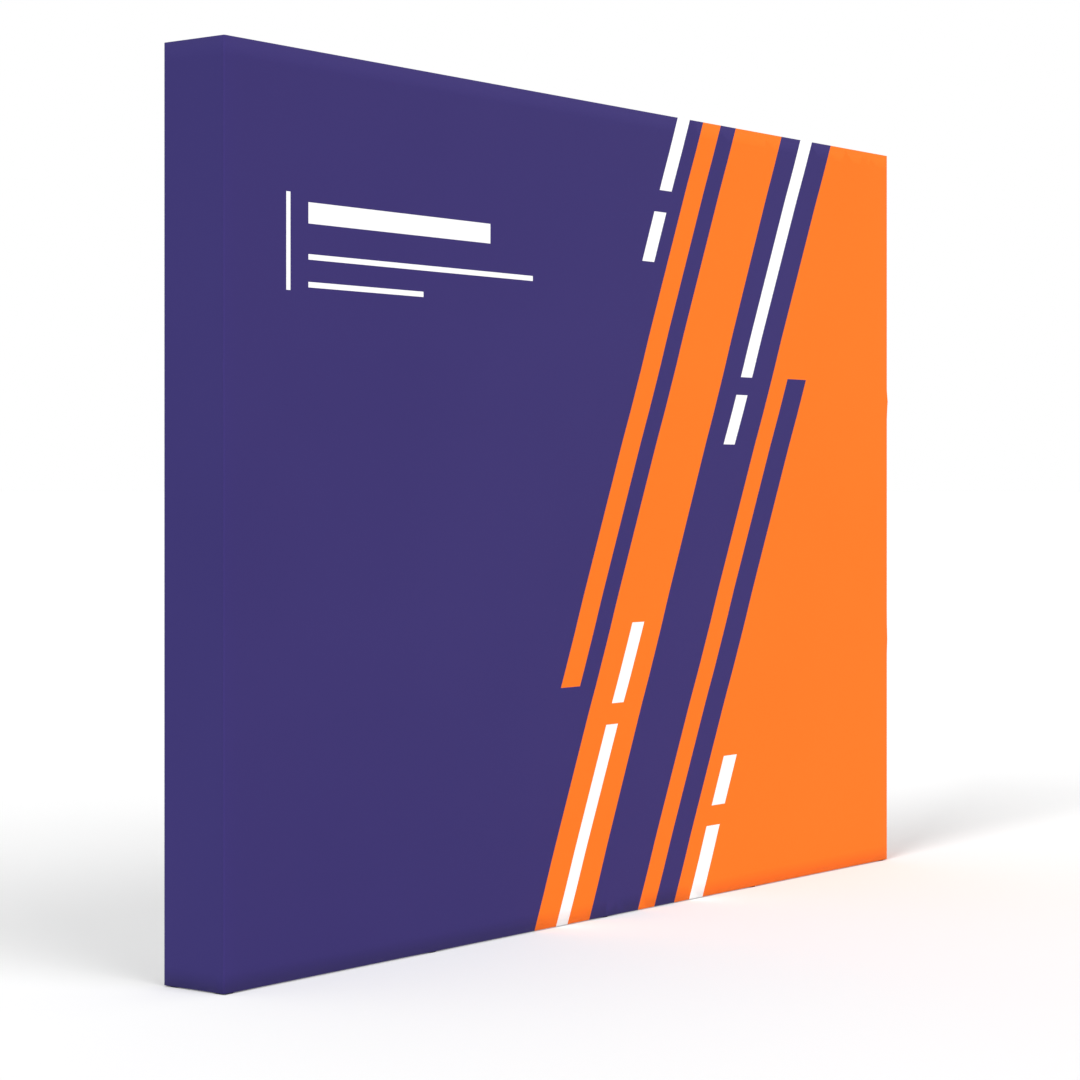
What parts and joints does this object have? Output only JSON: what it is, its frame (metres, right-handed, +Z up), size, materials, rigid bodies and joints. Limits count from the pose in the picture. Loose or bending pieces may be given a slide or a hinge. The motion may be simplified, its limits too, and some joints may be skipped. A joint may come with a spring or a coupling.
{
  "type": "pop-up display stand",
  "caption": "Straight fabric display wall on a folding scissor frame with swing-up locking arms, a front graphic and two end caps.",
  "frame": {"origin": "bottom centre of the box of the open stand, on the floor", "axes": "X along the width, Y from the printed front to the back, Z up"},
  "size_m": [3.0536, 0.2, 2.268],
  "materials": {
    "black_plastic": "moulded black nylon",
    "aluminium": "brushed",
    "rubber": "matte",
    "grey_plastic": "moulded grey nylon",
    "printed_cloth": "dye-printed stretch polyester"
  },
  "bodies": {
    "front_upright_1": {"front_upright_1": "black_plastic", "front_foot_1": "rubber", "end_cap_left": "printed_cloth"},
    "rear_upright_1": {"rear_upright_1": "black_plastic", "rear_foot_1": "rubber"},
    "front_upright_2": {"front_upright_2": "black_plastic", "front_foot_2": "rubber"},
    "rear_upright_2": {"rear_upright_2": "black_plastic", "rear_foot_2": "rubber"},
    "front_upright_3": {"front_upright_3": "black_plastic", "front_foot_3": "rubber", "graphic_front": "printed_cloth"},
    "rear_upright_3": {"rear_upright_3": "black_plastic", "rear_foot_3": "rubber"},
    "front_upright_4": {"front_upright_4": "black_plastic", "front_foot_4": "rubber"},
    "rear_upright_4": {"rear_upright_4": "black_plastic", "rear_foot_4": "rubber"},
    "front_upright_5": {"front_upright_5": "black_plastic", "front_foot_5": "rubber", "end_cap_right": "printed_cloth"},
    "rear_upright_5": {"rear_upright_5": "black_plastic", "rear_foot_5": "rubber"},
    "scissor_bar_a_row1_bay1": {"scissor_bar_a_row1_bay1": "aluminium"},
    "scissor_bar_b_row1_bay1": {"scissor_bar_b_row1_bay1": "aluminium"},
    "scissor_bar_a_row1_bay2": {"scissor_bar_a_row1_bay2": "aluminium"},
    "scissor_bar_b_row1_bay2": {"scissor_bar_b_row1_bay2": "aluminium"},
    "scissor_bar_a_row1_bay3": {"scissor_bar_a_row1_bay3": "aluminium"},
    "scissor_bar_b_row1_bay3": {"scissor_bar_b_row1_bay3": "aluminium"},
    "scissor_bar_a_row1_bay4": {"scissor_bar_a_row1_bay4": "aluminium"},
    "scissor_bar_b_row1_bay4": {"scissor_bar_b_row1_bay4": "aluminium"},
    "scissor_bar_a_row2_bay1": {"scissor_bar_a_row2_bay1": "aluminium"},
    "scissor_bar_b_row2_bay1": {"scissor_bar_b_row2_bay1": "aluminium"},
    "scissor_bar_a_row2_bay2": {"scissor_bar_a_row2_bay2": "aluminium"},
    "scissor_bar_b_row2_bay2": {"scissor_bar_b_row2_bay2": "aluminium"},
    "scissor_bar_a_row2_bay3": {"scissor_bar_a_row2_bay3": "aluminium"},
    "scissor_bar_b_row2_bay3": {"scissor_bar_b_row2_bay3": "aluminium"},
    "scissor_bar_a_row2_bay4": {"scissor_bar_a_row2_bay4": "aluminium"},
    "scissor_bar_b_row2_bay4": {"scissor_bar_b_row2_bay4": "aluminium"},
    "scissor_bar_a_row3_bay1": {"scissor_bar_a_row3_bay1": "aluminium"},
    "scissor_bar_b_row3_bay1": {"scissor_bar_b_row3_bay1": "aluminium"},
    "scissor_bar_a_row3_bay2": {"scissor_bar_a_row3_bay2": "aluminium"},
    "scissor_bar_b_row3_bay2": {"scissor_bar_b_row3_bay2": "aluminium"},
    "scissor_bar_a_row3_bay3": {"scissor_bar_a_row3_bay3": "aluminium"},
    "scissor_bar_b_row3_bay3": {"scissor_bar_b_row3_bay3": "aluminium"},
    "scissor_bar_a_row3_bay4": {"scissor_bar_a_row3_bay4": "aluminium"},
    "scissor_bar_b_row3_bay4": {"scissor_bar_b_row3_bay4": "aluminium"},
    "scissor_bar_a_row4_bay1": {"scissor_bar_a_row4_bay1": "aluminium"},
    "scissor_bar_b_row4_bay1": {"scissor_bar_b_row4_bay1": "aluminium"},
    "scissor_bar_a_row4_bay2": {"scissor_bar_a_row4_bay2": "aluminium"},
    "scissor_bar_b_row4_bay2": {"scissor_bar_b_row4_bay2": "aluminium"},
    "scissor_bar_a_row4_bay3": {"scissor_bar_a_row4_bay3": "aluminium"},
    "scissor_bar_b_row4_bay3": {"scissor_bar_b_row4_bay3": "aluminium"},
    "scissor_bar_a_row4_bay4": {"scissor_bar_a_row4_bay4": "aluminium"},
    "scissor_bar_b_row4_bay4": {"scissor_bar_b_row4_bay4": "aluminium"},
    "locking_arm_1": {"locking_arm_1": "grey_plastic"},
    "locking_arm_2": {"locking_arm_2": "grey_plastic"},
    "locking_arm_3": {"locking_arm_3": "grey_plastic"},
    "locking_arm_4": {"locking_arm_4": "grey_plastic"}
  },
  "joints": [
    {"name": "fold", "type": "hinge", "parent": "front_upright_3", "child": "scissor_bar_a_row1_bay3", "pos_m": [0.025, -0.075, 0.04], "axis": [0, 0, 1], "range_deg": [0, 75.5]},
    {"name": "fold_rear_upright_4", "type": "hinge", "parent": "scissor_bar_a_row1_bay3", "child": "rear_upright_4", "pos_m": [0.725, 0.075, 0.04], "axis": [0, 0, 1], "range_deg": [-75.5, 0]},
    {"name": "fold_scissor_bar_b_row1_bay4", "type": "hinge", "parent": "rear_upright_4", "child": "scissor_bar_b_row1_bay4", "pos_m": [0.775, 0.075, 0.04], "axis": [0, 0, 1], "range_deg": [-75.5, 0]},
    {"name": "fold_front_upright_5", "type": "hinge", "parent": "scissor_bar_b_row1_bay4", "child": "front_upright_5", "pos_m": [1.475, -0.075, 0.04], "axis": [0, 0, 1], "range_deg": [0, 75.5]},
    {"name": "fold_scissor_bar_b_row1_bay2", "type": "hinge", "parent": "front_upright_3", "child": "scissor_bar_b_row1_bay2", "pos_m": [-0.025, -0.075, 0.04], "axis": [0, 0, 1], "range_deg": [-75.5, 0]},
    {"name": "fold_rear_upright_2", "type": "hinge", "parent": "scissor_bar_b_row1_bay2", "child": "rear_upright_2", "pos_m": [-0.725, 0.075, 0.04], "axis": [0, 0, 1], "range_deg": [0, 75.5]},
    {"name": "fold_scissor_bar_a_row1_bay1", "type": "hinge", "parent": "rear_upright_2", "child": "scissor_bar_a_row1_bay1", "pos_m": [-0.775, 0.075, 0.04], "axis": [0, 0, 1], "range_deg": [0, 75.5]},
    {"name": "fold_front_upright_1", "type": "hinge", "parent": "scissor_bar_a_row1_bay1", "child": "front_upright_1", "pos_m": [-1.475, -0.075, 0.04], "axis": [0, 0, 1], "range_deg": [-75.5, 0]},
    {"name": "fold_scissor_bar_b_row1_bay3", "type": "hinge", "parent": "scissor_bar_a_row1_bay3", "child": "scissor_bar_b_row1_bay3", "pos_m": [0.375, 0, 0.04], "axis": [0, 0, 1], "range_deg": [-151, 0]},
    {"name": "fold_front_upright_4", "type": "hinge", "parent": "scissor_bar_b_row1_bay3", "child": "front_upright_4", "pos_m": [0.725, -0.075, 0.04], "axis": [0, 0, 1], "range_deg": [0, 75.5]},
    {"name": "fold_scissor_bar_a_row1_bay4", "type": "hinge", "parent": "front_upright_4", "child": "scissor_bar_a_row1_bay4", "pos_m": [0.775, -0.075, 0.04], "axis": [0, 0, 1], "range_deg": [0, 75.5]},
    {"name": "fold_rear_upright_5", "type": "hinge", "parent": "scissor_bar_a_row1_bay4", "child": "rear_upright_5", "pos_m": [1.475, 0.075, 0.04], "axis": [0, 0, 1], "range_deg": [-75.5, 0]},
    {"name": "fold_rear_upright_3", "type": "hinge", "parent": "scissor_bar_b_row1_bay3", "child": "rear_upright_3", "pos_m": [0.025, 0.075, 0.04], "axis": [0, 0, 1], "range_deg": [0, 75.5]},
    {"name": "fold_scissor_bar_a_row1_bay2", "type": "hinge", "parent": "scissor_bar_b_row1_bay2", "child": "scissor_bar_a_row1_bay2", "pos_m": [-0.375, 0, 0.04], "axis": [0, 0, 1], "range_deg": [0, 151]},
    {"name": "fold_front_upright_2", "type": "hinge", "parent": "scissor_bar_a_row1_bay2", "child": "front_upright_2", "pos_m": [-0.725, -0.075, 0.04], "axis": [0, 0, 1], "range_deg": [-75.5, 0]},
    {"name": "fold_scissor_bar_b_row1_bay1", "type": "hinge", "parent": "front_upright_2", "child": "scissor_bar_b_row1_bay1", "pos_m": [-0.775, -0.075, 0.04], "axis": [0, 0, 1], "range_deg": [-75.5, 0]},
    {"name": "fold_rear_upright_1", "type": "hinge", "parent": "scissor_bar_b_row1_bay1", "child": "rear_upright_1", "pos_m": [-1.475, 0.075, 0.04], "axis": [0, 0, 1], "range_deg": [0, 75.5]},
    {"name": "fold_scissor_bar_a_row2_bay1", "type": "hinge", "parent": "front_upright_1", "child": "scissor_bar_a_row2_bay1", "pos_m": [-1.475, -0.075, 0.73], "axis": [0, 0, 1], "range_deg": [0, 75.5]},
    {"name": "fold_scissor_bar_b_row2_bay1", "type": "hinge", "parent": "rear_upright_1", "child": "scissor_bar_b_row2_bay1", "pos_m": [-1.475, 0.075, 0.73], "axis": [0, 0, 1], "range_deg": [-75.5, 0]},
    {"name": "fold_scissor_bar_a_row2_bay2", "type": "hinge", "parent": "front_upright_2", "child": "scissor_bar_a_row2_bay2", "pos_m": [-0.725, -0.075, 0.73], "axis": [0, 0, 1], "range_deg": [0, 75.5]},
    {"name": "fold_scissor_bar_b_row2_bay2", "type": "hinge", "parent": "rear_upright_2", "child": "scissor_bar_b_row2_bay2", "pos_m": [-0.725, 0.075, 0.73], "axis": [0, 0, 1], "range_deg": [-75.5, 0]},
    {"name": "fold_scissor_bar_a_row2_bay3", "type": "hinge", "parent": "front_upright_3", "child": "scissor_bar_a_row2_bay3", "pos_m": [0.025, -0.075, 0.73], "axis": [0, 0, 1], "range_deg": [0, 75.5]},
    {"name": "fold_scissor_bar_b_row2_bay3", "type": "hinge", "parent": "rear_upright_3", "child": "scissor_bar_b_row2_bay3", "pos_m": [0.025, 0.075, 0.73], "axis": [0, 0, 1], "range_deg": [-75.5, 0]},
    {"name": "fold_scissor_bar_a_row2_bay4", "type": "hinge", "parent": "front_upright_4", "child": "scissor_bar_a_row2_bay4", "pos_m": [0.775, -0.075, 0.73], "axis": [0, 0, 1], "range_deg": [0, 75.5]},
    {"name": "fold_scissor_bar_b_row2_bay4", "type": "hinge", "parent": "rear_upright_4", "child": "scissor_bar_b_row2_bay4", "pos_m": [0.775, 0.075, 0.73], "axis": [0, 0, 1], "range_deg": [-75.5, 0]},
    {"name": "fold_scissor_bar_a_row3_bay1", "type": "hinge", "parent": "front_upright_1", "child": "scissor_bar_a_row3_bay1", "pos_m": [-1.475, -0.075, 1.481], "axis": [0, 0, 1], "range_deg": [0, 75.5]},
    {"name": "fold_scissor_bar_b_row3_bay1", "type": "hinge", "parent": "rear_upright_1", "child": "scissor_bar_b_row3_bay1", "pos_m": [-1.475, 0.075, 1.481], "axis": [0, 0, 1], "range_deg": [-75.5, 0]},
    {"name": "fold_scissor_bar_a_row3_bay2", "type": "hinge", "parent": "front_upright_2", "child": "scissor_bar_a_row3_bay2", "pos_m": [-0.725, -0.075, 1.481], "axis": [0, 0, 1], "range_deg": [0, 75.5]},
    {"name": "fold_scissor_bar_b_row3_bay2", "type": "hinge", "parent": "rear_upright_2", "child": "scissor_bar_b_row3_bay2", "pos_m": [-0.725, 0.075, 1.481], "axis": [0, 0, 1], "range_deg": [-75.5, 0]},
    {"name": "fold_scissor_bar_a_row3_bay3", "type": "hinge", "parent": "front_upright_3", "child": "scissor_bar_a_row3_bay3", "pos_m": [0.025, -0.075, 1.481], "axis": [0, 0, 1], "range_deg": [0, 75.5]},
    {"name": "fold_scissor_bar_b_row3_bay3", "type": "hinge", "parent": "rear_upright_3", "child": "scissor_bar_b_row3_bay3", "pos_m": [0.025, 0.075, 1.481], "axis": [0, 0, 1], "range_deg": [-75.5, 0]},
    {"name": "fold_scissor_bar_a_row3_bay4", "type": "hinge", "parent": "front_upright_4", "child": "scissor_bar_a_row3_bay4", "pos_m": [0.775, -0.075, 1.481], "axis": [0, 0, 1], "range_deg": [0, 75.5]},
    {"name": "fold_scissor_bar_b_row3_bay4", "type": "hinge", "parent": "rear_upright_4", "child": "scissor_bar_b_row3_bay4", "pos_m": [0.775, 0.075, 1.481], "axis": [0, 0, 1], "range_deg": [-75.5, 0]},
    {"name": "fold_scissor_bar_a_row4_bay1", "type": "hinge", "parent": "front_upright_1", "child": "scissor_bar_a_row4_bay1", "pos_m": [-1.475, -0.075, 2.232], "axis": [0, 0, 1], "range_deg": [0, 75.5]},
    {"name": "fold_scissor_bar_b_row4_bay1", "type": "hinge", "parent": "rear_upright_1", "child": "scissor_bar_b_row4_bay1", "pos_m": [-1.475, 0.075, 2.232], "axis": [0, 0, 1], "range_deg": [-75.5, 0]},
    {"name": "fold_scissor_bar_a_row4_bay2", "type": "hinge", "parent": "front_upright_2", "child": "scissor_bar_a_row4_bay2", "pos_m": [-0.725, -0.075, 2.232], "axis": [0, 0, 1], "range_deg": [0, 75.5]},
    {"name": "fold_scissor_bar_b_row4_bay2", "type": "hinge", "parent": "rear_upright_2", "child": "scissor_bar_b_row4_bay2", "pos_m": [-0.725, 0.075, 2.232], "axis": [0, 0, 1], "range_deg": [-75.5, 0]},
    {"name": "fold_scissor_bar_a_row4_bay3", "type": "hinge", "parent": "front_upright_3", "child": "scissor_bar_a_row4_bay3", "pos_m": [0.025, -0.075, 2.232], "axis": [0, 0, 1], "range_deg": [0, 75.5]},
    {"name": "fold_scissor_bar_b_row4_bay3", "type": "hinge", "parent": "rear_upright_3", "child": "scissor_bar_b_row4_bay3", "pos_m": [0.025, 0.075, 2.232], "axis": [0, 0, 1], "range_deg": [-75.5, 0]},
    {"name": "fold_scissor_bar_a_row4_bay4", "type": "hinge", "parent": "front_upright_4", "child": "scissor_bar_a_row4_bay4", "pos_m": [0.775, -0.075, 2.232], "axis": [0, 0, 1], "range_deg": [0, 75.5]},
    {"name": "fold_scissor_bar_b_row4_bay4", "type": "hinge", "parent": "rear_upright_4", "child": "scissor_bar_b_row4_bay4", "pos_m": [0.775, 0.075, 2.232], "axis": [0, 0, 1], "range_deg": [-75.5, 0]},
    {"name": "swing_locking_arm_1", "type": "hinge", "parent": "rear_upright_2", "child": "locking_arm_1", "pos_m": [-0.75, 0.05, 0.73], "axis": [-1, 0, 0], "range_deg": [0, 90]},
    {"name": "swing_locking_arm_2", "type": "hinge", "parent": "rear_upright_2", "child": "locking_arm_2", "pos_m": [-0.75, 0.05, 1.481], "axis": [-1, 0, 0], "range_deg": [0, 90]},
    {"name": "swing_locking_arm_3", "type": "hinge", "parent": "rear_upright_4", "child": "locking_arm_3", "pos_m": [0.75, 0.05, 0.73], "axis": [-1, 0, 0], "range_deg": [0, 90]},
    {"name": "swing_locking_arm_4", "type": "hinge", "parent": "rear_upright_4", "child": "locking_arm_4", "pos_m": [0.75, 0.05, 1.481], "axis": [-1, 0, 0], "range_deg": [0, 90]}
  ],
  "couplings": [
    {"joint": "fold_rear_upright_4", "follows": "fold", "ratio": -1},
    {"joint": "fold_scissor_bar_b_row1_bay4", "follows": "fold", "ratio": -1},
    {"joint": "fold_front_upright_5", "follows": "fold", "ratio": 1},
    {"joint": "fold_scissor_bar_b_row1_bay2", "follows": "fold", "ratio": -1},
    {"joint": "fold_rear_upright_2", "follows": "fold", "ratio": 1},
    {"joint": "fold_scissor_bar_a_row1_bay1", "follows": "fold", "ratio": 1},
    {"joint": "fold_front_upright_1", "follows": "fold", "ratio": -1},
    {"joint": "fold_scissor_bar_b_row1_bay3", "follows": "fold", "ratio": -2},
    {"joint": "fold_front_upright_4", "follows": "fold", "ratio": 1},
    {"joint": "fold_scissor_bar_a_row1_bay4", "follows": "fold", "ratio": 1},
    {"joint": "fold_rear_upright_5", "follows": "fold", "ratio": -1},
    {"joint": "fold_rear_upright_3", "follows": "fold", "ratio": 1},
    {"joint": "fold_scissor_bar_a_row1_bay2", "follows": "fold", "ratio": 2},
    {"joint": "fold_front_upright_2", "follows": "fold", "ratio": -1},
    {"joint": "fold_scissor_bar_b_row1_bay1", "follows": "fold", "ratio": -1},
    {"joint": "fold_rear_upright_1", "follows": "fold", "ratio": 1},
    {"joint": "fold_scissor_bar_a_row2_bay1", "follows": "fold", "ratio": 1},
    {"joint": "fold_scissor_bar_b_row2_bay1", "follows": "fold", "ratio": -1},
    {"joint": "fold_scissor_bar_a_row2_bay2", "follows": "fold", "ratio": 1},
    {"joint": "fold_scissor_bar_b_row2_bay2", "follows": "fold", "ratio": -1},
    {"joint": "fold_scissor_bar_a_row2_bay3", "follows": "fold", "ratio": 1},
    {"joint": "fold_scissor_bar_b_row2_bay3", "follows": "fold", "ratio": -1},
    {"joint": "fold_scissor_bar_a_row2_bay4", "follows": "fold", "ratio": 1},
    {"joint": "fold_scissor_bar_b_row2_bay4", "follows": "fold", "ratio": -1},
    {"joint": "fold_scissor_bar_a_row3_bay1", "follows": "fold", "ratio": 1},
    {"joint": "fold_scissor_bar_b_row3_bay1", "follows": "fold", "ratio": -1},
    {"joint": "fold_scissor_bar_a_row3_bay2", "follows": "fold", "ratio": 1},
    {"joint": "fold_scissor_bar_b_row3_bay2", "follows": "fold", "ratio": -1},
    {"joint": "fold_scissor_bar_a_row3_bay3", "follows": "fold", "ratio": 1},
    {"joint": "fold_scissor_bar_b_row3_bay3", "follows": "fold", "ratio": -1},
    {"joint": "fold_scissor_bar_a_row3_bay4", "follows": "fold", "ratio": 1},
    {"joint": "fold_scissor_bar_b_row3_bay4", "follows": "fold", "ratio": -1},
    {"joint": "fold_scissor_bar_a_row4_bay1", "follows": "fold", "ratio": 1},
    {"joint": "fold_scissor_bar_b_row4_bay1", "follows": "fold", "ratio": -1},
    {"joint": "fold_scissor_bar_a_row4_bay2", "follows": "fold", "ratio": 1},
    {"joint": "fold_scissor_bar_b_row4_bay2", "follows": "fold", "ratio": -1},
    {"joint": "fold_scissor_bar_a_row4_bay3", "follows": "fold", "ratio": 1},
    {"joint": "fold_scissor_bar_b_row4_bay3", "follows": "fold", "ratio": -1},
    {"joint": "fold_scissor_bar_a_row4_bay4", "follows": "fold", "ratio": 1},
    {"joint": "fold_scissor_bar_b_row4_bay4", "follows": "fold", "ratio": -1}
  ]
}
